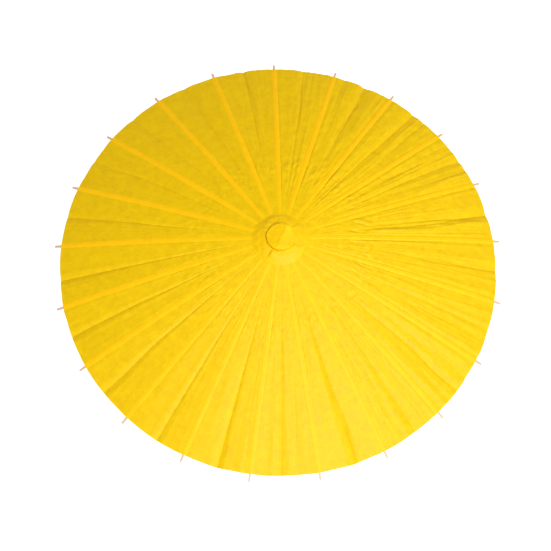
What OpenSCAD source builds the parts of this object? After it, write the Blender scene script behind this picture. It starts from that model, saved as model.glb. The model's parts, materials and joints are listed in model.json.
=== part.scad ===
// Open paper parasol with a sliding runner, folding ribs and stretchers.
// +Z runs up the shaft. The origin is on the shaft's axis at the middle of the
// grip's straight length. The first rib points along +Y.

/* [Canopy] */
// Radius of the paper's edge
canopy_r = 410; // [330:5:500]
// How far each rib's tip stands out past the paper
tip_out = 13; // [6:1:20]
// Height of the rib pivots above the rib tips
rise = 103; // [80:1:125]
// How far the ribs bow above a straight line from pivot to tip
bow = 8; // [4:1:12]
// Depth of the paper's crease between two ribs, at the edge
crease_drop = 8; // [4:1:14]
// Thickness of the oiled paper
paper_t = 0.3; // [0.2:0.05:0.5]

/* [Ribs and stretchers] */
// Number of ribs
rib_count = 21; // [14:1:22]
// Width of a rib over most of its length
rib_w = 4.8; // [4:0.1:5]
// Depth of a rib and of a stretcher
rib_t = 3; // [2.4:0.1:3.4]
// Width of a stretcher over most of its length
stretcher_w = 4.4; // [3.6:0.1:4.6]
// Radius, from the shaft's axis, at which the stretchers meet the ribs
knuckle_at = 165; // [130:1:200]
// How far the joint lies below the rib's centre line
knuckle_drop = 6; // [5.5:0.1:7]
// Angle between rib line and shaft when folded, in degrees
folded_angle = 3; // [2.5:0.1:5]

/* [Shaft and grip] */
// Diameter of the shaft
shaft_d = 13; // [11:0.5:14]
// Height of the rib pivots above the middle of the grip
hub_z = 485; // [450:1:560]
// Straight length of the grip
grip_len = 88; // [70:1:92]
// Diameter of the grip
grip_d = 20; // [18:0.5:24]

/* [Fits] */
// Running clearance of the runner on the shaft, on the radius
runner_gap = 0.08; // [0.04:0.01:0.1]
// Running clearance of a pin or a wire in the hole that turns on it
pin_gap = 0.09; // [0.08:0.01:0.1]
// Clearance on each side of a rib's head in its slot
slot_gap = 0.2; // [0.15:0.01:0.25]
// Gap between the paper and what it lies over
paper_gap = 0.5; // [0.4:0.05:0.8]

/* [Hidden] */
$fn = 48;
cut = 1;
pitch = 360 / rib_count;

// Hub and runner: both carry their binding wire on the same pivot circle.
pivot_r = 18.5;
notch_r = pivot_r - 3;
head_r = pivot_r + 3.5;
crown_r = head_r + 3.2;
wire_r = 0.6;
head_t = 2.4;
eye_r = 2.2;
slot_w = head_t + 2 * slot_gap;
slot_roof = eye_r + 1;
hub_cover = 4.6;
hub_top = hub_z + slot_roof + hub_cover;
hub_bottom = hub_z - 8;
hub_pin_z = hub_top - hub_cover / 2;
hub_pin_r = 1;

// Rib curve: a parabola from pivot to tip, bowed up by bow at mid-span.
tip_r = canopy_r + tip_out;
span = tip_r - pivot_r;
curl = 4 * bow / pow(span, 2);
slope_in = rise / span - curl * span;
function line_z(r) = hub_z - (r - pivot_r) * slope_in - curl * pow(r - pivot_r, 2);
function line_slope(r) = slope_in + 2 * curl * (r - pivot_r);

// Joint between rib and stretcher, and the length that both arms share.
tilt = atan(line_slope(knuckle_at));
joint_r = knuckle_at - knuckle_drop * sin(tilt);
joint_z = line_z(knuckle_at) - knuckle_drop * cos(tilt);
arm = norm([joint_r - pivot_r, hub_z - joint_z]);
open_angle = acos((hub_z - joint_z) / arm);
runner_z = hub_z - 2 * arm * cos(open_angle);
runner_down = runner_z - hub_z + 2 * arm * cos(folded_angle);

// Knuckle and tongue
pin_r = 0.75;
knuckle_r = 2.6;
knuckle_half = 9;
tongue_t = 1.9;
tongue_len = 10;
fork_w = tongue_t + 0.3;
joint_eye_r = 1.9;
fork_roof = joint_eye_r + 0.4;

// Runner, catch and stop
runner_base = runner_z - 42;
runner_flange = runner_z - 5;
runner_top = runner_z + 8;
sleeve_r = 11;
catch_nose = 3.4;
catch_top = runner_base - 0.3;
catch_len = 32;
catch_t = 1.6;
catch_pin_r = 0.8;
catch_z = catch_top - catch_len;
stop_r = 1.25;
stop_z = runner_top + stop_r + 0.3;

// Crown under the paper cap
disc_t = 2;
disc_top = hub_top + disc_t;
disc_r = crown_r;
disc_edge = [[disc_r - 1.8, disc_top], [disc_r - 0.6, disc_top - 0.4], [disc_r, disc_top - 1.6]];
cap_t = 0.6;
cap_gap = 0.4;
skirt_r = 50;

// Shaft ends
shaft_r = shaft_d / 2;
grip_r = grip_d / 2;
butt_h = 9;
shaft_bottom = -grip_len / 2 - 4;
ring_h = 5;

// Paper stations from the crown to the edge, and finer ones for the ribs.
paper_in = crown_r + 0.8;
paper_steps = 6;
rib_steps = 12;
function station(i, steps) = paper_in + (canopy_r - paper_in) * i / steps;
function ridge_z(r) = line_z(r) + rib_t / 2 / cos(atan(line_slope(r))) + paper_gap;
function crease_z(r) = ridge_z(r) - crease_drop * pow(r / canopy_r, 1.2);

function two_digits(i) = str(i < 10 ? "0" : "", i);
function rib_name(i) = str("rib_", two_digits(i));
function stretcher_name(i) = str("stretcher_", two_digits(i));

// A bar lying along X in the XZ plane, its outline extruded to width w about Y = 0.
module side_plate(w) {
    rotate([90, 0, 0]) linear_extrude(w, center = true) children();
}

// A round bar or hole across Y at (x, z).
module cross_bar(x, z, r, w) {
    translate([x, w / 2, z]) rotate([90, 0, 0]) cylinder(r = r, h = w);
}

// Turns a piece drawn facing +X to face -Y, opposite the first rib.
module facing_front() {
    rotate([0, 0, -90]) children();
}

// Turns a piece drawn along +X to the place of rib number i.
module at_rib(i) {
    rotate([0, 0, 90 + (i - 1) * pitch]) children();
}

// Half-width of the narrow head, then the full width, drawn both sides of X.
module tapered_plan(x_head, x_full, x_end, x_nose, w_full, w_nose) {
    half = [
        [x_head - 4, head_t / 2], [x_head + 8, head_t / 2], [x_full, w_full / 2],
        [x_end, w_full / 2], [x_nose - 1.2, w_nose / 2], [x_nose, w_nose / 2 - 1]
    ];
    other = [for (i = [len(half) - 1:-1:0]) [half[i][0], -half[i][1]]];
    polygon(concat(half, other));
}

// ---- ribs ----

module rib_outline() {
    rs = concat([pivot_r], [for (i = [0:rib_steps]) station(i, rib_steps)], [tip_r]);
    top = [for (r = rs) [r, line_z(r) + rib_t / 2 / cos(atan(line_slope(r)))]];
    low = [for (r = rs) [r, line_z(r) - rib_t / 2 / cos(atan(line_slope(r)))]];
    flipped = [for (i = [len(low) - 1:-1:0]) low[i]];
    polygon(concat(top, flipped));
}

module knuckle_cheeks() {
    foot = knuckle_drop - rib_t / 2 + 0.6;
    translate([joint_r, 0, joint_z]) rotate([0, tilt, 0]) {
        side_plate(rib_w) polygon([
            [-knuckle_half, foot], [knuckle_half, foot], [knuckle_r, 0], [-knuckle_r, 0]
        ]);
        cross_bar(0, 0, knuckle_r, rib_w);
    }
}

module knuckle_slot() {
    translate([joint_r, 0, joint_z]) rotate([0, tilt, 0])
        translate([-knuckle_half - cut, -fork_w / 2, -knuckle_drop])
            cube([2 * (knuckle_half + cut), fork_w, knuckle_drop + fork_roof]);
}

module rib() {
    color("burlywood") difference() {
        union() {
            intersection() {
                side_plate(rib_w + 2 * cut) rib_outline();
                linear_extrude(hub_z + cut)
                    tapered_plan(pivot_r, pivot_r + 45, canopy_r, tip_r, rib_w, rib_w - 0.8);
            }
            cross_bar(pivot_r, hub_z, eye_r, head_t);
            knuckle_cheeks();
        }
        knuckle_slot();
        cross_bar(pivot_r, hub_z, wire_r + pin_gap, rib_w + cut);
        cross_bar(joint_r, joint_z, pin_r + 0.03, rib_w + cut);
    }
    color("indianred") cross_bar(joint_r, joint_z, pin_r, rib_w);
}

// ---- stretchers ----

module stretcher() {
    color("burlywood") translate([pivot_r, 0, runner_z]) rotate([0, open_angle - 90, 0])
        difference() {
            union() {
                linear_extrude(rib_t, center = true) stretcher_plan();
                cross_bar(0, 0, eye_r, head_t);
                cross_bar(arm, 0, joint_eye_r, tongue_t);
            }
            cross_bar(0, 0, wire_r + pin_gap, stretcher_w + cut);
            cross_bar(arm, 0, pin_r + pin_gap, stretcher_w + cut);
        }
}

module stretcher_plan() {
    half = [
        [0, head_t / 2], [8, head_t / 2], [34, stretcher_w / 2],
        [arm - tongue_len - 2, stretcher_w / 2], [arm - tongue_len, tongue_t / 2], [arm, tongue_t / 2]
    ];
    other = [for (i = [len(half) - 1:-1:0]) [half[i][0], -half[i][1]]];
    polygon(concat(half, other));
}

// ---- hub, runner and their binding wires ----

// Ring of slots, one for each rib, from z0 to z1 and open outward.
module slots(z0, z1) {
    for (i = [1:rib_count]) at_rib(i)
        translate([notch_r, -slot_w / 2, z0]) cube([head_r, slot_w, z1 - z0]);
}

// Ring groove at height z, open outward, for the binding wire.
module wire_groove(z) {
    groove = wire_r + 0.05;
    rotate_extrude() translate([pivot_r - groove, z - groove]) square([head_r, 2 * groove]);
}

module binding_wire(z) {
    rotate_extrude() translate([pivot_r, z]) circle(wire_r, $fn = 24);
}

module top_hub() {
    color("tan") difference() {
        rotate_extrude() polygon([
            [shaft_r, hub_bottom], [head_r - 2, hub_bottom], [head_r, hub_bottom + 2],
            [head_r, hub_z + slot_roof + 0.3], [crown_r, hub_z + slot_roof + 1],
            [crown_r, hub_top - 1], [crown_r - 1, hub_top], [shaft_r, hub_top]
        ]);
        slots(hub_bottom - cut, hub_z + slot_roof);
        wire_groove(hub_z);
        facing_front() cross_bar(0, hub_pin_z, hub_pin_r, 4 * crown_r);
    }
}

module hub_pin() {
    color("peru") facing_front() cross_bar(0, hub_pin_z, hub_pin_r, 2 * crown_r - 2);
}

module crown_disc() {
    outline = concat([[0, disc_top]], disc_edge, [[disc_r, hub_top], [0, hub_top]]);
    color("tan") rotate_extrude() polygon(outline);
}

module runner() {
    bore_r = shaft_r + runner_gap;
    color("tan") difference() {
        rotate_extrude() polygon([
            [bore_r, runner_base], [sleeve_r - 1, runner_base], [sleeve_r, runner_base + 1],
            [sleeve_r, runner_base + 8], [sleeve_r - 1, runner_base + 10],
            [sleeve_r - 1, runner_flange - 8], [sleeve_r + 2, runner_flange - 4],
            [head_r - 2, runner_flange - 2], [head_r, runner_flange],
            [head_r, runner_top - 2], [head_r - 2, runner_top], [bore_r, runner_top]
        ]);
        slots(runner_z - slot_roof, runner_top + cut);
        wire_groove(runner_z);
    }
}

// ---- shaft, grip and small hardware ----

module shaft() {
    slot = catch_t + 0.4;
    color("wheat") difference() {
        translate([0, 0, shaft_bottom]) cylinder(r = shaft_r, h = hub_top - shaft_bottom);
        facing_front() {
            translate([2.6 - shaft_r, -slot / 2, catch_z - 4])
                cube([2 * shaft_r, slot, catch_len + 7]);
            cross_bar(0, catch_z, catch_pin_r, 2 * shaft_d);
            cross_bar(0, stop_z, stop_r, 2 * shaft_d);
            cross_bar(0, hub_pin_z, hub_pin_r, 2 * shaft_d);
        }
    }
}

// Spring tongue: an eye on its pin, a thin arm and a nose that the runner rests on.
module catch_spring() {
    nose_x = shaft_r + catch_nose;
    color("silver") facing_front() difference() {
        union() {
            side_plate(catch_t) polygon([
                [-1.6, catch_z], [1.6, catch_z], [2.6, catch_top - 24], [shaft_r - 0.8, catch_top - 20],
                [nose_x, catch_top - 2.5], [nose_x, catch_top], [shaft_r - 5, catch_top],
                [shaft_r - 5, catch_top - 6], [-1.2, catch_top - 20]
            ]);
            cross_bar(0, catch_z, 2, catch_t);
        }
        cross_bar(0, catch_z, catch_pin_r + pin_gap, 2 * catch_t);
    }
}

module catch_pin() {
    color("silver") facing_front() cross_bar(0, catch_z, catch_pin_r, shaft_d - 0.4);
}

module stop_pin() {
    color("peru") facing_front() cross_bar(0, stop_z, stop_r, shaft_d + 7);
}

module grip() {
    half = grip_len / 2;
    color("saddlebrown") rotate_extrude() polygon([
        [shaft_r, -half], [grip_r, -half], [grip_r, half], [grip_r - 1.5, half + 1.5],
        [grip_r - 1.5, half + 2.5], [shaft_r, half + 2.5]
    ]);
}

module grip_ring() {
    base = grip_len / 2 + 2.5;
    color("goldenrod") rotate_extrude() difference() {
        translate([shaft_r, base]) square([2.4, ring_h]);
        translate([shaft_r + 3.4, base + ring_h / 2]) circle(1.6);
    }
}

module butt_cap() {
    half = grip_len / 2;
    color("saddlebrown") difference() {
        rotate_extrude() polygon([
            [0, -half - butt_h], [grip_r - 4, -half - butt_h], [grip_r - 1.6, -half - butt_h + 1.2],
            [grip_r - 0.5, -half - butt_h + 3.4], [grip_r - 0.5, -half - 1.2],
            [grip_r - 1.4, -half], [0, -half]
        ]);
        translate([0, 0, shaft_bottom]) cylinder(r = shaft_r, h = grip_len);
    }
}

// ---- paper and thread ----

// A point at radius r and sideways distance y from rib 1's line, turned by a.
function beside_rib(r, y, a) = [
    sqrt(r * r - y * y) * cos(a) - y * sin(a), sqrt(r * r - y * y) * sin(a) + y * cos(a)
];

// One row of paper from rib to rib: flat over each rib, creased at the middle.
function paper_row(r, lift) = let (
    edge = min(rib_w / 2 + 0.3, r * sin(pitch / 2) * 0.45),
    up = ridge_z(r) + lift,
    down = crease_z(r) + lift,
    mid = [r * cos(pitch / 2), r * sin(pitch / 2)]
) [
    concat(beside_rib(r, 0.1, 0), up), concat(beside_rib(r, edge, 0), up), concat(mid, down),
    concat(beside_rib(r, -edge, pitch), up), concat(beside_rib(r, -0.1, pitch), up)
];

// One gore as a closed sheet: upper rows, then lower rows, five points in each.
module paper_gore() {
    rows = paper_steps + 1;
    n = 5 * rows;
    rs = [for (i = [0:paper_steps]) station(i, paper_steps)];
    points = concat(
        [for (r = rs) each paper_row(r, paper_t)], [for (r = rs) each paper_row(r, 0)]
    );
    top = [for (i = [0:paper_steps - 1], j = [0:3]) let (a = 5 * i + j)
        each [[a, a + 6, a + 5], [a, a + 1, a + 6]]];
    low = [for (t = top) [t[0] + n, t[2] + n, t[1] + n]];
    rim = concat(
        [for (j = [0:4]) j], [for (i = [1:paper_steps]) 5 * i + 4],
        [for (j = [3:-1:0]) n - 5 + j], [for (i = [paper_steps - 1:-1:1]) 5 * i]
    );
    m = len(rim);
    side = [for (i = [0:m - 1]) let (a = rim[i], b = rim[(i + 1) % m])
        each [[a, a + n, b + n], [a, b + n, b]]];
    polyhedron(points, [for (t = concat(top, low, side)) [t[0], t[2], t[1]]]);
}

module paper_canopy() {
    color("gold") for (i = [1:rib_count]) at_rib(i) paper_gore();
}

// Paper cap: a flat top over the disc, and a skirt that slopes down to the canopy.
module paper_cap() {
    in_r = disc_r + 0.15;
    top = disc_top + 0.1;
    hem = ridge_z(skirt_r) + paper_t + cap_gap;
    inner_edge = [for (p = disc_edge) p + [in_r - disc_r, top - disc_top]];
    outer_edge = [for (i = [len(disc_edge) - 1:-1:0]) inner_edge[i] + [cap_t, cap_t]];
    color("gold") rotate_extrude() polygon(concat(
        [[0, top]], inner_edge, [[skirt_r, hem], [skirt_r, hem + cap_t]], outer_edge,
        [[0, top + cap_t]]
    ));
}

// Thread that runs from joint to joint round the ring of ribs.
module joint_thread() {
    thread_r = 0.4;
    clear = rib_w / 2 + 0.4;
    start = [joint_r, clear];
    end = [joint_r * cos(pitch) + clear * sin(pitch), joint_r * sin(pitch) - clear * cos(pitch)];
    run = end - start;
    color("indianred") for (i = [1:rib_count]) at_rib(i)
        translate([start[0], start[1], joint_z]) rotate([0, 0, atan2(run[1], run[0])])
            rotate([0, 90, 0]) cylinder(r = thread_r, h = norm(run));
}

shaft();
grip();
grip_ring();
butt_cap();
top_hub();
binding_wire(hub_z);  // top_wire
hub_pin();
crown_disc();
paper_canopy();
paper_cap();
joint_thread();
runner();
color("silver") binding_wire(runner_z);  // runner_wire
catch_spring();
catch_pin();
stop_pin();
for (i = [1:rib_count]) {
    at_rib(i) rib();
    at_rib(i) stretcher();
}
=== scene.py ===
import json
import math

import bpy
import numpy as np
from mathutils import Matrix, Vector


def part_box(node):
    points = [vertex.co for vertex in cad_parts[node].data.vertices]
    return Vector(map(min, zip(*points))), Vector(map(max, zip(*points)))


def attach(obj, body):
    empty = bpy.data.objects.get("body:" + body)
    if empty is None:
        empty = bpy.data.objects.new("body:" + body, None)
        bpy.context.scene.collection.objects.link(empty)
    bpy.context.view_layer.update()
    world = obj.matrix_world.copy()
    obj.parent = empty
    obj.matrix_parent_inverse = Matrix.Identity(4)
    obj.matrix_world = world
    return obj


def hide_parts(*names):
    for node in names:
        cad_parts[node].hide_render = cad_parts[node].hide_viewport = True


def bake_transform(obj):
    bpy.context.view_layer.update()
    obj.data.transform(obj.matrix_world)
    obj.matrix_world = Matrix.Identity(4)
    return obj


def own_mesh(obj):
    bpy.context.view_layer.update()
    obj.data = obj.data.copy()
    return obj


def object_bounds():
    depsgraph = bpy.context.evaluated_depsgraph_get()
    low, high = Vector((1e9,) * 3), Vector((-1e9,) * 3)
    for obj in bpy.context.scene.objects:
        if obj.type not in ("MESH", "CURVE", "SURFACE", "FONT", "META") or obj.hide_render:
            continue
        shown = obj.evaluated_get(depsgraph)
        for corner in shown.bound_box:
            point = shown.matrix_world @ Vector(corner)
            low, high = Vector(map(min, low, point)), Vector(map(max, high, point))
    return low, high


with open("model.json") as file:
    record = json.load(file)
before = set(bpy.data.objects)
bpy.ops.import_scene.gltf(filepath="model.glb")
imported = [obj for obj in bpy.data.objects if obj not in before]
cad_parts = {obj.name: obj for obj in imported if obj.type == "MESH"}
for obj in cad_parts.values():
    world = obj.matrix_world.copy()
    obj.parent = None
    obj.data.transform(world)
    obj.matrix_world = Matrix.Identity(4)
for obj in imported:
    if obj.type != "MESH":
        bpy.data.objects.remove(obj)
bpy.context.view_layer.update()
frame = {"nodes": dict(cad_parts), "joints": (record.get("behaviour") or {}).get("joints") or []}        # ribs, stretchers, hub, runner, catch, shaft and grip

MM = 0.001

# ---- sizes, in metres ----

# From the frame: the ribs' count, pitch, pivots, joints and tips, and the reach of the canopy's
# paper, the cap and its card disc.
joint_place = {j["name"]: Vector(j["pos_m"]) for j in frame["joints"]}
RIBS = sum(name.startswith("rib_") for name in frame["nodes"])
PITCH = 2 * math.pi / RIBS
PIVOT_R = joint_place["canopy_fold"].y
HUB_Z = joint_place["canopy_fold"].z
JOINT_R = joint_place["stretcher_01_fold"].y
JOINT_Z = joint_place["stretcher_01_fold"].z
TIP_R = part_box("rib_01")[1].y
CANOPY_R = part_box("paper_canopy")[1].y
CAP_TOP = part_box("paper_cap")[1].z
CAP_HEM_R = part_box("paper_cap")[1].x
DISC_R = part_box("crown_disc")[1].x
FLOOR_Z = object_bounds()[0].z

# The ribs' line, as the frame has it: a parabola that falls by RISE and bows up by BOW. Its slope
# starts at SLOPE_IN and grows by twice CURL for each metre outward.
RISE = 103 * MM
BOW = 8 * MM
SPAN = TIP_R - PIVOT_R
CURL = 4 * BOW / SPAN**2
SLOPE_IN = RISE / SPAN - CURL * SPAN
RIB_DEPTH = 3 * MM

# The paper over them.
PAPER_T = 0.25 * MM
PAPER_LIFT = 0.7 * MM        # how far the paper's face stands over a rib's back
PAPER_IN = DISC_R + 1.2 * MM
CREASE_DROP = 6.2 * MM       # depth of the fold between two ribs, at the edge
FOLD_WIDTH = 15 * MM         # how far from the fold its steep sides reach, at the edge
FOLD_STEEP = 0.58            # the share of the depth that is in those sides
STRIP_HALF = 4.9 * MM        # half the width of the paper that is glued round a rib
STRIP_FLAT = 2.3 * MM        # half the width of its flat top
STRIP_DROP = 0.6 * MM        # how far its sides go down
STRIP_SHARE = 0.485          # the most of a rib's room in the folded bundle that half may take


NOISE_SIZE = 64


def smooth(t):
    """An S-curve from 0 to 1, level at both ends: 3t^2 - 2t^3."""
    t = np.clip(t, 0, 1)
    return t * t * (3 - 2 * t)


def rib_line(r):
    """Height of the middle of a rib at radius r: the pivot's, less a part that grows with the
    distance x from it and a part that grows with x squared."""
    x = r - PIVOT_R
    return HUB_Z - x * SLOPE_IN - CURL * x**2


def ridge(r):
    """Height of the paper's face over a rib: half the rib's depth over its middle, and then
    PAPER_LIFT."""
    slope = SLOPE_IN + 2 * CURL * (r - PIVOT_R)
    return rib_line(r) + RIB_DEPTH / 2 * np.sqrt(1 + slope**2) + PAPER_LIFT


def noise(x, y, seed):
    """Smooth noise from -1 to 1: random values at whole numbers of x and y, joined by S-curves.
    It repeats after NOISE_SIZE."""
    table = np.random.default_rng(seed).uniform(-1, 1, (NOISE_SIZE, NOISE_SIZE))
    column, row = np.floor(x).astype(int), np.floor(y).astype(int)
    across, along = smooth(x - column), smooth(y - row)

    def value(right, up):
        return table[(column + right) % NOISE_SIZE, (row + up) % NOISE_SIZE]

    lower = value(0, 0) + (value(1, 0) - value(0, 0)) * across
    upper = value(0, 1) + (value(1, 1) - value(0, 1)) * across
    return lower * (1 - along) + upper * along


def creased(x, y, seed):
    """Noise with sharp valleys, like paper that was crushed and smoothed out: 0 at a crease and
    up to 1 between creases."""
    return np.abs(noise(x, y, seed))


# ---- meshes ----


def grid_piece(name, points, material, thickness=0, closed=False, filled=0):
    """A surface through points[row, column]; each square of four neighbours is a face.
    closed joins the last column to the first. thickness adds paper below the face.
    filled=1 closes the first row's ring with a face, and filled=2 the last row's too."""
    rows, columns = points.shape[:2]
    index = np.arange(rows * columns).reshape(rows, columns)
    after = np.roll(index, -1, axis=1) if closed else index[:, 1:]
    before = index if closed else index[:, :-1]
    squares = np.stack([before[:-1], before[1:], after[1:], after[:-1]], axis=-1)
    faces = squares.reshape(-1, 4).tolist()
    faces += [index[0].tolist(), index[-1, ::-1].tolist()][:filled]
    mesh = bpy.data.meshes.new(name)
    mesh.from_pydata(points.reshape(-1, 3).tolist(), [], faces)
    mesh.polygons.foreach_set("use_smooth", np.ones(len(faces), bool))
    mesh.materials.append(material)
    mesh.update()
    sharpen_outline(mesh, rows, columns, closed, filled)
    piece = bpy.data.objects.new(name, mesh)
    bpy.context.scene.collection.objects.link(piece)
    if thickness:
        wall = piece.modifiers.new("paper thickness", "SOLIDIFY")
        wall.thickness = thickness
        wall.offset = -1
    return piece


def sharpen_outline(mesh, rows, columns, closed, filled):
    """Marks the grid's outline sharp, so the sheet's cut side doesn't tilt its face's shading."""
    ends = np.empty(len(mesh.edges) * 2, np.int32)
    mesh.edges.foreach_get("vertices", ends)
    row, column = np.divmod(ends.reshape(-1, 2), columns)
    outline = np.all(row == rows - 1, axis=1)
    if not filled:
        outline |= np.all(row == 0, axis=1)
    if not closed:
        outline |= np.all(column == 0, axis=1) | np.all(column == columns - 1, axis=1)
    mark = mesh.attributes.new("sharp_edge", "BOOLEAN", "EDGE")
    mark.data.foreach_set("value", outline)


def turned(r, angle, z):
    """Points at radius r and angle, from the first rib counter-clockwise, at height z."""
    a = angle + math.pi / 2
    return np.stack([r * np.cos(a), r * np.sin(a), z], axis=-1)


def rib_axes(i):
    """Directions at rib i, counting from 0: level outward, level to the left, and upright to the
    rib's line."""
    a = i * PITCH + math.pi / 2
    out = Vector((math.cos(a), math.sin(a), 0))
    side = Vector((-math.sin(a), math.cos(a), 0))
    fall = math.atan(RISE / SPAN)
    upright = out * math.sin(fall) + Vector((0, 0, math.cos(fall)))
    return out, side, upright


def two_digits(i):
    """A rib's number in names, which count from 01."""
    return f"{i + 1:02d}"


# ---- the canopy's paper ----

ROWS = 150                   # rows of points from the crown to the edge
HALF_COLUMNS = 48            # columns from a strip's edge to the fold
STRIP_COLUMNS = 15
row_share = np.linspace(0, 1, ROWS)

# Panel i is the paper from rib i to the next one counter-clockwise.
dice = np.random.default_rng(21)
fold_place = 0.5 + dice.uniform(-0.06, 0.06, RIBS)      # each fold, as a share of its panel
fold_depth = dice.uniform(0.75, 1.12, RIBS)             # as a share of CREASE_DROP
band_height = dice.uniform(0.5, 1.3, RIBS) * MM         # soft waves along each panel
side_fold_place = dice.uniform(0.25, 0.75, RIBS)        # a second, shallow fold
side_fold_height = dice.uniform(-1.1, 0.9, RIBS) * MM

CREASES = 7                  # fine lengthwise creases in each panel, most of them upward
crease_place = dice.uniform(0.06, 0.94, (CREASES, RIBS))
crease_start = dice.uniform(0.12, 0.72, (CREASES, RIBS))
crease_height = dice.uniform(0.3, 1.0, (CREASES, RIBS)) * MM
crease_height = crease_height * dice.choice((1, 1, -1), (CREASES, RIBS))
crease_width = dice.uniform(2.2, 7.5, (CREASES, RIBS)) * MM

# The paper is most crumpled near +X, at RUMPLED_SIDE from it, and calm opposite.
RUMPLED_SIDE = math.radians(12)
RUMPLE_LEAST = 0.4
RUMPLE_MORE = 1.5
from_worst = np.arange(RIBS) * PITCH + math.pi / 2 - RUMPLED_SIDE
rumple = RUMPLE_LEAST + RUMPLE_MORE * (0.5 + 0.5 * np.cos(from_worst)) ** 1.7

CREASE_GAIN = 1.25           # how much the fine creases count beside the other wrinkles
RING_PLACE = 0.38            # where the ring of crinkles lies, as a share of the canopy's radius
RING_WIDTH = 0.085
WRINKLE_IN = 46 * MM         # the radius where wrinkles begin
WRINKLE_GROW = 50 * MM       # and how far out from it they are full


def folded_radius(r):
    """How far from the shaft a rib's point lies when folded: along the leaning rib, plus its
    bow."""
    fold = math.radians(frame["joints"][0]["range_deg"][1])
    lean = math.pi / 2 - math.atan(RISE / SPAN) - fold
    x = (r - PIVOT_R) / SPAN
    return PIVOT_R + x * SPAN * math.sin(lean) + 4 * BOW * x * (1 - x)


def strip_half(r):
    """Half the width of the strip on a rib: narrower near the crown, where folded ribs are
    close."""
    return np.minimum(STRIP_HALF, STRIP_SHARE * PITCH * folded_radius(r))


def deepened(r):
    """How deep the folds are at radius r, as a share of their depth at the edge."""
    return (r / CANOPY_R) ** 1.2


def fold_drop(panel, r):
    """Depth of a panel's fold at radius r."""
    return CREASE_DROP * fold_depth[panel] * deepened(r)


def strip_drop(i, r):
    """How far a strip's sides go down: deeper where the paper is crumpled, and at most half the
    fold's depth near the crown."""
    return np.minimum(STRIP_DROP * (0.5 + 0.6 * rumple[i]), 0.5 * CREASE_DROP * deepened(r))


def fold_share(panel, t):
    """Where a panel's fold runs, as a share of the panel: it wanders a little on its way out.
    t runs from 0 at the crown to 1 at the edge."""
    wander = 0.035 * noise(t * 4.5, np.full_like(t, panel * 3.7), 5)
    return fold_place[panel] + wander * smooth(t * 3)


def fine_creases(panel, r, across):
    """Height of a panel's lengthwise creases. Each is a sharp line that starts partway out,
    wanders and dies away to both sides: its height times e to the minus distance over width."""
    out = r / CANOPY_R
    height = 0 * r * across
    for k in range(CREASES):
        seed = 50 + k
        wander = 0.09 * noise(r / (130 * MM), 7.1 * panel + 0 * r, seed)
        away = np.abs(across - crease_place[k, panel] - wander) * PITCH * r
        grown = smooth((out - crease_start[k, panel]) / 0.16)
        uneven = 0.65 + 0.35 * noise(r / (60 * MM), 3.3 * panel + 0 * r, seed)
        line = np.exp(-away / crease_width[k, panel])
        height += crease_height[k, panel] * grown * uneven * line
    return height


def wrinkles(panel, r, across):
    """Height of the paper's irregularities, from across = 0 at one rib to 1 at the next.
    Long waves, a second fold like a low tent, soft and small crushed facets, fine creases and a
    ring of crinkles."""
    out = r / CANOPY_R
    arc = across * PITCH * r
    start = 11.3 * panel
    height = band_height[panel] * out * noise(r / (150 * MM), across * 5 + start, 11)
    place = side_fold_place[panel] + 0.06 * noise(r / (90 * MM), start + 0 * r, 12)
    tent = np.clip(1 - np.abs(across - place) / 0.11, 0, 1)
    height += side_fold_height[panel] * out * tent * smooth((out - 0.3) / 0.3)
    height += 0.5 * MM * creased(r / (75 * MM), across * 13 + start, 13) * smooth(out * 2.2)
    height += 0.5 * MM * creased(r / (26 * MM) + arc / (45 * MM), arc / (17 * MM) + start, 14)
    height = rumple[panel] * (height + CREASE_GAIN * fine_creases(panel, r, across))
    ring = np.exp(-(((out - RING_PLACE) / RING_WIDTH) ** 2))
    outward = r / (13 * MM) - arc / (26 * MM)
    around = arc / (10 * MM) + r / (40 * MM) + start
    height += (0.7 + 0.8 * rumple[panel]) * MM * ring * creased(outward, around, 15)
    return height * smooth((r - WRINKLE_IN) / WRINKLE_GROW)


def half_panel(i, way):
    """Paper from a rib's strip to the fold beside it; way is 1 counter-clockwise, -1 clockwise.
    Height: the ridge less the strip's side, less a gentle fall that turns steep beside the fold,
    plus the wrinkles, which fade out at the strip. The angle runs from the strip to the fold.
    The canopy's edge is uneven, and drawn in a little at the folds."""
    panel = i if way > 0 else (i - 1) % RIBS
    t = row_share[:, None]
    s = np.linspace(0, 1, HALF_COLUMNS)[None, :]
    base_r = PAPER_IN + (CANOPY_R - PAPER_IN) * t
    fold_at = fold_share(panel, t) if way > 0 else 1 - fold_share(panel, t)
    edge_angle = np.arcsin(strip_half(base_r) / base_r)
    angle = edge_angle + (fold_at * PITCH - edge_angle) * s
    across = angle / PITCH if way > 0 else 1 - angle / PITCH
    loose = smooth(s / 0.14)
    uneven = 0.9 * MM * noise(across * 4, np.full_like(across, panel * 2.3), 16)
    notch = 0.3 * MM * np.clip(1 - np.abs(1 - s) / 0.2, 0, 1)
    r = base_r + (uneven * loose - notch) * smooth((t - 0.9) / 0.1)
    side = strip_drop(i, base_r)
    steep_from = 1 - FOLD_WIDTH / CANOPY_R / (PITCH / 2) * (0.35 + 0.65 * t)
    steep = np.clip((s - steep_from) / (1 - steep_from), 0, 1) ** 1.6
    gentle = s + 0.1 * np.sin(math.pi * s)
    fall = (fold_drop(panel, base_r) - side) * (gentle + FOLD_STEEP * (steep - gentle))
    z = ridge(base_r) - side - fall + loose * wrinkles(panel, base_r, across)
    points = turned(r, i * PITCH + way * angle, z)
    return points if way > 0 else points[:, ::-1]


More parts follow.
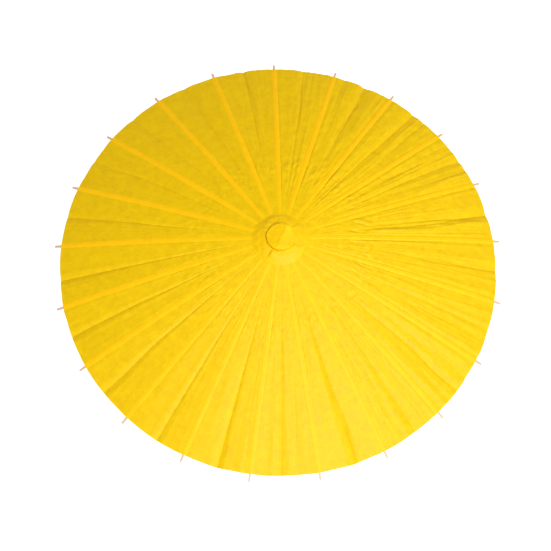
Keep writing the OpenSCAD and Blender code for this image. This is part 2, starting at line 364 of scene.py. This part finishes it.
def strip(i):
    """Paper glued over a rib: flat and slightly puckered on top, its two sides going down in an
    S-curve to the panels."""
    r = (PAPER_IN + (CANOPY_R - PAPER_IN) * row_share)[:, None]
    half = strip_half(r)
    v = np.linspace(-1, 1, STRIP_COLUMNS)[None, :] * half
    flat = STRIP_FLAT / STRIP_HALF * half
    z = ridge(r) - strip_drop(i, r) * smooth((np.abs(v) - flat) / (half - flat))
    pucker = 0.12 * MM * noise(r / (9 * MM), v / (3 * MM) + 5.1 * i, 17)
    z = z + pucker * (1 - (v / half) ** 2)
    return turned(r + 0 * v, i * PITCH + np.arcsin(v / r), z)


def lay_paper(paper, covered_paper):
    """The canopy: a strip on each rib and a half panel on either side, meeting at the folds."""
    for i in range(RIBS):
        rib = f"rib_{two_digits(i)}"
        top = grid_piece(f"paper_strip_{two_digits(i)}", strip(i), covered_paper, PAPER_T)
        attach(top, rib)
        for way, hand in ((1, "left"), (-1, "right")):
            name = f"paper_{hand}_{two_digits(i)}"
            half = grid_piece(name, half_panel(i, way), paper, PAPER_T)
            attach(half, rib)
            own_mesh(half)
    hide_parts("paper_canopy")


# ---- the cap ----

CAP_ROWS = 40
CAP_COLUMNS = 168            # a multiple of the number of ribs
PETAL_ROWS = 26
PETAL_COLUMNS = CAP_COLUMNS // RIBS * 2 + 1
CAP_WALL_R = DISC_R + 0.8 * MM
CAP_FALL = 5.6 * MM          # how far the wall goes down
SKIRT_TOP_Z = CAP_TOP - 5 * MM
SKIRT_TUCK = 0.55 * MM       # how far the skirt's top goes under the wall
SKIRT_LIFT = 0.45 * MM       # how far its hem stands over the ribs' paper
HEM_WAVER = 3.5 * MM


def cap_facets(x, y):
    """How far the creased top stands over the disc: a ridge with a steep facet falling to the
    right and a gentle one to the left, and a faint crushed pattern."""
    ridge_height, ridge_place, turn = 5 * MM, 2.8 * MM, math.radians(-24)
    right = x * math.cos(turn) + y * math.sin(turn) - ridge_place
    slopes = np.where(right > 0, 0.28 * right, -0.18 * right)
    top = np.maximum(ridge_height - slopes, 0)
    return top + 0.35 * MM * creased(x / (9 * MM) + 3, y / (7 * MM) + 4, 31)


def cap_top():
    """The cap's top as a wheel of points: level to near the edge, then a rounded edge and a
    wall. The edge is a circle that wavers by a few tenths of a millimetre."""
    u = np.linspace(0.004, 1, CAP_ROWS)[:, None]
    a = np.linspace(0, 2 * math.pi, CAP_COLUMNS, endpoint=False)[None, :]
    waver = 0.25 * MM * np.sin(5 * a + 1) + 0.2 * MM * np.sin(9 * a + 2)
    edge = CAP_WALL_R + waver
    r = edge * np.minimum(u / 0.8, 1) ** 0.9
    down = np.clip((u - 0.72) / 0.28, 0, 1)
    z = CAP_TOP - CAP_FALL * down**2.4 + 0 * a
    x, y = r * -np.sin(a), r * np.cos(a)
    return turned(r, a + 0 * u, z + cap_facets(x, y) * (1 - down))


def skirt_height(r, a):
    """Height of the crumpled skirt at radius r and angle a: an even curve from the cap's wall
    down to the canopy, with a few soft waves and small creases that die away at the hem."""
    share = np.clip((r - CAP_WALL_R) / (CAP_HEM_R - CAP_WALL_R), 0, 1)
    low = ridge(r) + SKIRT_LIFT
    z = SKIRT_TOP_Z + (low - SKIRT_TOP_Z) * (1 - (1 - share) ** 1.15)
    wave = noise(a * 6 / (2 * math.pi) + 0.4, 1.7 * share, 41)
    crease = creased(a * 19 / (2 * math.pi), share * 2.6 + 2, 42)
    return z + (1.2 * np.abs(wave) + 1.3 * crease) * MM * np.sin(math.pi * share) ** 0.8


# Flaps of the skirt that stand up: degrees counter-clockwise from the first rib, half their width
# in degrees, 1 where the counter-clockwise side is high or -1, and their height in millimetres.
FLAPS = ((161, 19, -1, 2.4), (231, 15, 1, 2.2), (304, 11, 1, 1.7))


def flap_height(a, share):
    """Height of the flaps: each rises evenly across its width, drops back in the last quarter,
    and is highest partway down the skirt."""
    height = 0 * a * share
    for place, half, way, high in FLAPS:
        t = np.clip(0.5 + way * (np.degrees(a) - place) / half / 2, 0, 1)
        height += high * MM * t * smooth((1 - t) / 0.25)
    return height * smooth(share / 0.2) * smooth((0.85 - share) / 0.45)


def hem_radius(a):
    """Radius of the skirt's torn-looking hem at angle a."""
    return CAP_HEM_R + HEM_WAVER * noise(a * 9 / (2 * math.pi), 0 * a + 3, 43)


def petal(i):
    """The part of the skirt over one rib, half a pitch to either side."""
    share = np.linspace(0, 1, PETAL_ROWS)[:, None]
    a = (i + np.linspace(-0.5, 0.5, PETAL_COLUMNS)[None, :]) * PITCH
    # The noise doesn't come round again after a whole turn, so the last fifth of the turn is
    # blended into what lies before its start.
    turn = np.mod(a, 2 * math.pi)
    before = turn - 2 * math.pi
    shut = smooth((turn - 1.6 * math.pi) / (0.4 * math.pi))
    hem = hem_radius(turn) * (1 - shut) + hem_radius(before) * shut
    r = CAP_WALL_R - SKIRT_TUCK + (hem - CAP_WALL_R) * share
    z = skirt_height(r, turn) * (1 - shut) + skirt_height(r, before) * shut
    return turned(r, a + 0 * share, z + flap_height(turn, share))


def fold_cap(paper):
    """The cap on the hub, and its skirt, in one piece over each rib."""
    for i in range(RIBS):
        piece = grid_piece(f"cap_skirt_{two_digits(i)}", petal(i), paper, PAPER_T)
        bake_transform(piece)
    top = grid_piece("cap_top", cap_top(), paper, PAPER_T, closed=True, filled=1)
    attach(top, "frame")
    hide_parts("paper_cap")


# ---- the thread ----

THREAD_R = 0.45 * MM
THREAD_SIDES = 12
THREAD_ROWS = 130
THREAD_START = 2.8 * MM      # just clear of the rib's cheek
THREAD_SAG = 1.2 * MM
TWIST = 2 * math.pi / (3 * MM)      # the plies' pattern comes round every 3 mm


def thread_side(i, way):
    """Half a span of two-ply thread, from a rib's joint to midway to the next: a tube on a
    straight line with a slight sag. Its section has two lobes, which turn as it goes."""
    out, side, _ = rib_axes(i)
    start = out * JOINT_R + side * (way * THREAD_START) + Vector((0, 0, JOINT_Z))
    a = (i + way * 0.5) * PITCH + math.pi / 2
    reach = JOINT_R * math.cos(PITCH / 2)
    end = Vector((reach * math.cos(a), reach * math.sin(a), JOINT_Z))
    run = end - start
    ahead = np.array(run.normalized())
    upward = np.array((0.0, 0.0, 1.0))
    sideways = np.cross(upward, ahead)
    t = np.linspace(0, 1, THREAD_ROWS)[:, None]
    turn = np.linspace(0, 2 * math.pi, THREAD_SIDES, endpoint=False)[None, :]
    radius = THREAD_R * (0.86 + 0.14 * np.cos(2 * (turn - TWIST / 2 * t * run.length)))
    line = np.array(start) + t * np.array(run) - upward * THREAD_SAG * np.sin(math.pi / 2 * t)
    ring = np.cos(turn)[..., None] * sideways + np.sin(turn)[..., None] * upward
    return line[:, None, :] + radius[..., None] * ring


def string_ribs(cotton):
    """The thread from joint to joint, in two halves for each rib, which draw in beside it."""
    for i in range(RIBS):
        for way, hand in ((1, "left"), (-1, "right")):
            name = f"thread_{hand}_{two_digits(i)}"
            piece = grid_piece(name, thread_side(i, way)[::-1], cotton, closed=True, filled=2)
            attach(piece, f"rib_{two_digits(i)}")
            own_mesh(piece)
            if i == 0 and way == 1:
                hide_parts("joint_thread")


# ---- finishes ----


def linear(hex_colour):
    """An sRGB hex colour as linear red, green, blue and 1."""
    s = np.array([int(hex_colour[k:k + 2], 16) for k in (0, 2, 4)]) / 255
    rgb = np.where(s <= 0.04045, s / 12.92, ((s + 0.055) / 1.055) ** 2.4)
    return (*rgb.tolist(), 1.0)


def is_output(value):
    """Whether a value is another node's output."""
    return isinstance(value, bpy.types.NodeSocket)


def add(tree, kind, inputs=(), **settings):
    """Adds a node, sets its properties, and gives its inputs values or other nodes' outputs."""
    node = tree.nodes.new("ShaderNode" + kind)
    for key, value in settings.items():
        setattr(node, key, value)
    for key, value in dict(inputs).items():
        if is_output(value):
            tree.links.new(value, node.inputs[key])
        else:
            node.inputs[key].default_value = value
    return node


def new_finish(name):
    """An empty material: its node tree, its output and the Object coordinates."""
    finish = bpy.data.materials.new(name)
    finish.use_nodes = True
    tree = finish.node_tree
    tree.nodes.clear()
    output = add(tree, "OutputMaterial")
    place = add(tree, "TexCoord").outputs["Object"]
    return finish, tree, output, place


def per_mm(size):
    """The scale of a pattern whose features are this many millimetres across."""
    return 1 / (size * MM)


def calc(tree, operation, *values):
    """One step of arithmetic on one or two values."""
    return add(tree, "Math", enumerate(values), operation=operation).outputs[0]


def specks(tree, place, size_mm, detail, **more):
    """Cloudy noise whose features are size_mm across."""
    inputs = {key.title(): value for key, value in more.items()}
    inputs.update({"Vector": place, "Scale": per_mm(size_mm), "Detail": detail})
    return add(tree, "TexNoise", inputs).outputs["Fac"]


def spread(tree, value, taken=(0, 1), given=(0, 1)):
    """Maps the range taken onto the range given, and holds what lies beyond at its ends."""
    return add(tree, "MapRange", {"Value": value, "From Min": taken[0], "From Max": taken[1],
                                  "To Min": given[0], "To Max": given[1]}).outputs[0]


def two_tone(tree, share, first, second):
    """A mix of two colours, each a hex colour or a node's output."""
    first, second = (c if is_output(c) else linear(c) for c in (first, second))
    return add(tree, "Mix", {"Factor": share, 6: first, 7: second}, data_type="RGBA").outputs[2]


def relief(tree, height, strength, depth_mm):
    """A bump for relief that is too fine to model."""
    return add(tree, "Bump", {"Height": height, "Strength": strength,
                              "Distance": depth_mm * MM}).outputs[0]


def face(tree, colour, roughness, bump, more=()):
    """The surface shader; more holds its other inputs."""
    return add(tree, "BsdfPrincipled", {"Base Color": colour, "Roughness": roughness,
                                        "Normal": bump, **dict(more)}).outputs[0]


def beside_ribs(tree, place):
    """Object coordinates turned to each rib's own: along it, across it, and height.
    Across is the angle left over from the nearest rib's, times the radius."""
    parts = add(tree, "SeparateXYZ", {0: place}).outputs
    flat = add(tree, "VectorMath", {0: place, 1: (1, 1, 0)}, operation="MULTIPLY").outputs[0]
    out = add(tree, "VectorMath", {0: flat}, operation="LENGTH").outputs["Value"]
    angle = calc(tree, "ARCTAN2", parts["Y"], parts["X"])
    pitches = calc(tree, "MULTIPLY", calc(tree, "SUBTRACT", angle, math.pi / 2), 1 / PITCH)
    nearest = calc(tree, "ROUND", pitches)
    left_over = calc(tree, "SUBTRACT", pitches, nearest)
    across = calc(tree, "MULTIPLY", calc(tree, "MULTIPLY", left_over, out), PITCH)
    # Each rib's pattern is lifted by its own amount, so that no two ribs are alike.
    height = calc(tree, "ADD", parts["Z"], calc(tree, "MULTIPLY", nearest, 0.37))
    along = add(tree, "CombineXYZ", {"X": out, "Y": across, "Z": height}).outputs[0]
    return along, out


def oiled_paper(name, light, deep, through, glow, fibre_mm=2.2):
    """Mulberry paper dyed yellow and oiled: cloudy fibres, a soft sheen, light showing through."""
    finish, tree, output, place = new_finish(name)
    clouds = specks(tree, place, 13, 4.0, roughness=0.62, distortion=0.6)
    fibres = specks(tree, place, fibre_mm, 3.0, roughness=0.7, distortion=2.5)
    tone = spread(tree, calc(tree, "ADD", clouds, fibres), taken=(0.75, 1.25))
    colour = two_tone(tree, tone, deep, light)
    cells = add(tree, "TexVoronoi", {"Vector": place, "Scale": per_mm(11)},
                feature="DISTANCE_TO_EDGE").outputs["Distance"]
    crushed = calc(tree, "ADD", calc(tree, "MINIMUM", cells, 0.22), fibres)
    bump = relief(tree, crushed, 0.45, 0.35)
    rough = spread(tree, clouds, given=(0.44, 0.58))
    front = face(tree, colour, rough, bump, {"IOR": 1.45, "Specular IOR Level": 0.2})
    shine_through = add(tree, "BsdfTranslucent",
                        {"Color": linear(through), "Normal": bump}).outputs[0]
    both = add(tree, "MixShader", {0: glow, 1: front, 2: shine_through}).outputs[0]
    tree.links.new(both, output.inputs["Surface"])
    return finish


def bamboo():
    """Split bamboo, planed and left bare: long pale fibres, darker flecks, tips faintly pink."""
    finish, tree, output, place = new_finish("split bamboo")
    along, out = beside_ribs(tree, place)
    stretched = add(tree, "Mapping", {"Vector": along, "Scale": (0.02, 1, 1)}).outputs[0]
    fibres = specks(tree, stretched, 0.45, 3.0, roughness=0.6)
    broad = specks(tree, stretched, 2.2, 2.0)
    tone = spread(tree, calc(tree, "MULTIPLY", fibres, broad), taken=(0.14, 0.36))
    wood = two_tone(tree, tone, "C49A62", "EBD3A4")
    tip = spread(tree, out, taken=(CANOPY_R - 4 * MM, CANOPY_R))
    colour = two_tone(tree, tip, wood, "C8AC94")
    shader = face(tree, colour, 0.55, relief(tree, fibres, 0.5, 0.12))
    tree.links.new(shader, output.inputs["Surface"])
    return finish


def straight_wood(name, light, dark, grain_mm, roughness, coat=0.0):
    """Wood with its grain along the shaft: streaks far longer than wide, and fine pores."""
    finish, tree, output, place = new_finish(name)
    stretched = add(tree, "Mapping", {"Vector": place, "Scale": (1, 1, 0.03)}).outputs[0]
    streaks = specks(tree, stretched, grain_mm, 4.0, roughness=0.6, distortion=0.8)
    pores = specks(tree, stretched, 0.4, 2.0)
    tone = spread(tree, calc(tree, "MULTIPLY", streaks, pores), taken=(0.15, 0.36))
    colour = two_tone(tree, tone, dark, light)
    shader = face(tree, colour, roughness, relief(tree, pores, 0.4, 0.1),
                  {"Coat Weight": coat, "Coat Roughness": 0.12})
    tree.links.new(shader, output.inputs["Surface"])
    return finish


def turned_wood():
    """Turned limewood, sanded but not varnished: faint tool rings round the axis, soft streaks."""
    finish, tree, output, place = new_finish("turned limewood")
    stretched = add(tree, "Mapping", {"Vector": place, "Scale": (1, 1, 0.06)}).outputs[0]
    streaks = specks(tree, stretched, 2.6, 4.0, distortion=0.5)
    colour = two_tone(tree, spread(tree, streaks, taken=(0.3, 0.7)), "BE9059", "E4C491")
    up = add(tree, "SeparateXYZ", {0: place}).outputs["Z"]
    level = add(tree, "CombineXYZ", {"Z": up}).outputs[0]
    rings = specks(tree, level, 0.7, 2.0)
    shader = face(tree, colour, 0.6, relief(tree, rings, 0.5, 0.12))
    tree.links.new(shader, output.inputs["Surface"])
    return finish


def straw_card():
    """Pressed straw card: short fibres in every direction, matt."""
    finish, tree, output, place = new_finish("pressed straw card")
    fibres = specks(tree, place, 1.4, 4.0, distortion=3.0)
    colour = two_tone(tree, fibres, "8C7350", "CDB58A")
    shader = face(tree, colour, 0.85, relief(tree, fibres, 0.6, 0.15))
    tree.links.new(shader, output.inputs["Surface"])
    return finish


def drawn_metal(name, bright, dull, roughness):
    """Drawn or rolled metal, handled and slightly tarnished: cloudy colour, fine scratches."""
    finish, tree, output, place = new_finish(name)
    colour = two_tone(tree, specks(tree, place, 3.5, 3.0), dull, bright)
    lines = specks(tree, place, 0.3, 2.0, distortion=1.0)
    rough = spread(tree, lines, given=(roughness - 0.08, roughness + 0.14))
    shader = face(tree, colour, rough, relief(tree, lines, 0.2, 0.03), {"Metallic": 1.0})
    tree.links.new(shader, output.inputs["Surface"])
    return finish


def cotton_thread():
    """Dyed two-ply cotton: matt, with loose fibres that blur its colour."""
    finish, tree, output, place = new_finish("dyed cotton thread")
    fuzz = specks(tree, place, 0.35, 2.0)
    colour = two_tone(tree, fuzz, "7E2D22", "C2604C")
    shader = face(tree, colour, 0.9, relief(tree, fuzz, 0.6, 0.08), {"Sheen Weight": 0.3})
    tree.links.new(shader, output.inputs["Surface"])
    return finish


def finish_frame():
    """Gives every node of the frame its material; ribs and stretchers are split bamboo."""
    peg = straight_wood("bamboo peg", "D9B77F", "A87B43", 0.9, 0.5)
    lacquered = straight_wood("lacquered beech", "9A5A2B", "5A2E14", 1.6, 0.34, coat=0.6)
    steel = drawn_metal("spring steel", "C9CCCE", "8E9193", 0.32)
    limewood = turned_wood()
    finishes = {
        "shaft": straight_wood("planed ramin", "E2C28C", "B98D53", 1.8, 0.5),
        "grip": lacquered, "butt_cap": lacquered,
        "grip_ring": drawn_metal("spun brass", "E0B658", "A97A2C", 0.3),
        "top_hub": limewood, "runner": limewood, "crown_disc": straw_card(),
        "hub_pin": peg, "stop_pin": peg,
        "top_wire": steel, "runner_wire": steel, "catch_spring": steel, "catch_pin": steel,
    }
    split = bamboo()
    for name, node in frame["nodes"].items():
        for place in node.material_slots:
            place.material = finishes.get(name, split)


# ---- studio ----


def white_floor():
    """A pale sheet under the parasol that gives a little light of its own, so it stays white.
    From below it lets the view through."""
    finish, tree, output, _ = new_finish("white paper sweep")
    matt = add(tree, "BsdfDiffuse", {"Color": (0.9, 0.9, 0.9, 1)}).outputs[0]
    own = add(tree, "Emission", {"Color": (1, 1, 1, 1), "Strength": 0.78}).outputs[0]
    lit = add(tree, "AddShader", {0: matt, 1: own}).outputs[0]
    clear = add(tree, "BsdfTransparent").outputs[0]
    below = add(tree, "NewGeometry").outputs["Backfacing"]
    both = add(tree, "MixShader", {0: below, 1: lit, 2: clear}).outputs[0]
    tree.links.new(both, output.inputs["Surface"])
    half, gap = 6.0, 0.5 * MM
    corners = np.array([[(-half, -half), (-half, half)], [(half, -half), (half, half)]])
    points = np.concatenate([corners, np.full((2, 2, 1), FLOOR_Z - gap)], axis=-1)
    grid_piece("floor", points, finish)


def soft_light(name, azimuth, elevation, distance, size, power):
    """A square soft light that looks at the canopy; azimuth runs from +X counter-clockwise."""
    light = bpy.data.lights.new(name, "AREA")
    light.size, light.energy = size, power
    lamp = bpy.data.objects.new(name, light)
    a, e = math.radians(azimuth), math.radians(elevation)
    away = Vector((math.cos(a) * math.cos(e), math.sin(a) * math.cos(e), math.sin(e)))
    turn = away.to_track_quat("Z", "Y").to_matrix().to_4x4()
    lamp.matrix_world = Matrix.Translation(Vector((0, 0, HUB_Z)) + away * distance) @ turn
    bpy.context.scene.collection.objects.link(lamp)


def pale_room(seen, given):
    """Even light from all round, as bright as given, in a room that looks as bright as seen."""
    world = bpy.data.worlds.new("room")
    bpy.context.scene.world = world
    world.use_nodes = True
    tree = world.node_tree
    tree.nodes.clear()
    looked_at = add(tree, "LightPath").outputs["Is Camera Ray"]
    level = spread(tree, looked_at, given=(given, seen))
    light = add(tree, "Background", {"Color": (1, 1, 1, 1), "Strength": level}).outputs[0]
    output = add(tree, "OutputWorld")
    tree.links.new(light, output.inputs["Surface"])


def place_camera(azimuth, elevation, roll, distance, aim, lens):
    """A camera that looks at aim. Azimuth 0 looks along +Y; roll raises its right side."""
    a, e, turn = (math.radians(x) for x in (azimuth, elevation, roll))
    back = Vector((math.sin(a) * math.cos(e), -math.cos(a) * math.cos(e), math.sin(e)))
    level = Vector((math.cos(a), math.sin(a), 0))
    up = back.cross(level)
    right = level * math.cos(turn) + up * math.sin(turn)
    data = bpy.data.cameras.new("camera")
    data.lens, data.sensor_width, data.clip_end = lens, 36, 50
    camera = bpy.data.objects.new("camera", data)
    axes = Matrix((right, back.cross(right), back)).transposed().to_4x4()
    camera.matrix_world = Matrix.Translation(Vector(aim) + back * distance) @ axes
    bpy.context.scene.collection.objects.link(camera)
    bpy.context.scene.camera = camera


# ---- the whole parasol ----

place_camera(azimuth=-5.35, elevation=69.08, roll=4.28, distance=2.115,
             aim=(-6.8 * MM, -27.4 * MM, 371.3 * MM), lens=73.24)
soft_light("key", azimuth=-63, elevation=60, distance=4.0, size=1.7, power=204)
soft_light("side", azimuth=20, elevation=40, distance=4.0, size=1.0, power=12)
pale_room(seen=0.92, given=0.33)
white_floor()
bpy.context.scene.view_settings.view_transform = "Standard"

yellow_paper = oiled_paper("yellow oiled paper", "E8C200", "D8B000", "F2C400", glow=0.1)
rib_paper = oiled_paper("oiled paper glued over bamboo", "F6C000", "ECB400", "F0B000",
                        glow=0.04, fibre_mm=1.6)
cap_paper = oiled_paper("crumpled cap paper", "EDC200", "DEB000", "F2C400", glow=0.06)
lay_paper(yellow_paper, rib_paper)
fold_cap(cap_paper)
string_ribs(cotton_thread())
finish_frame()
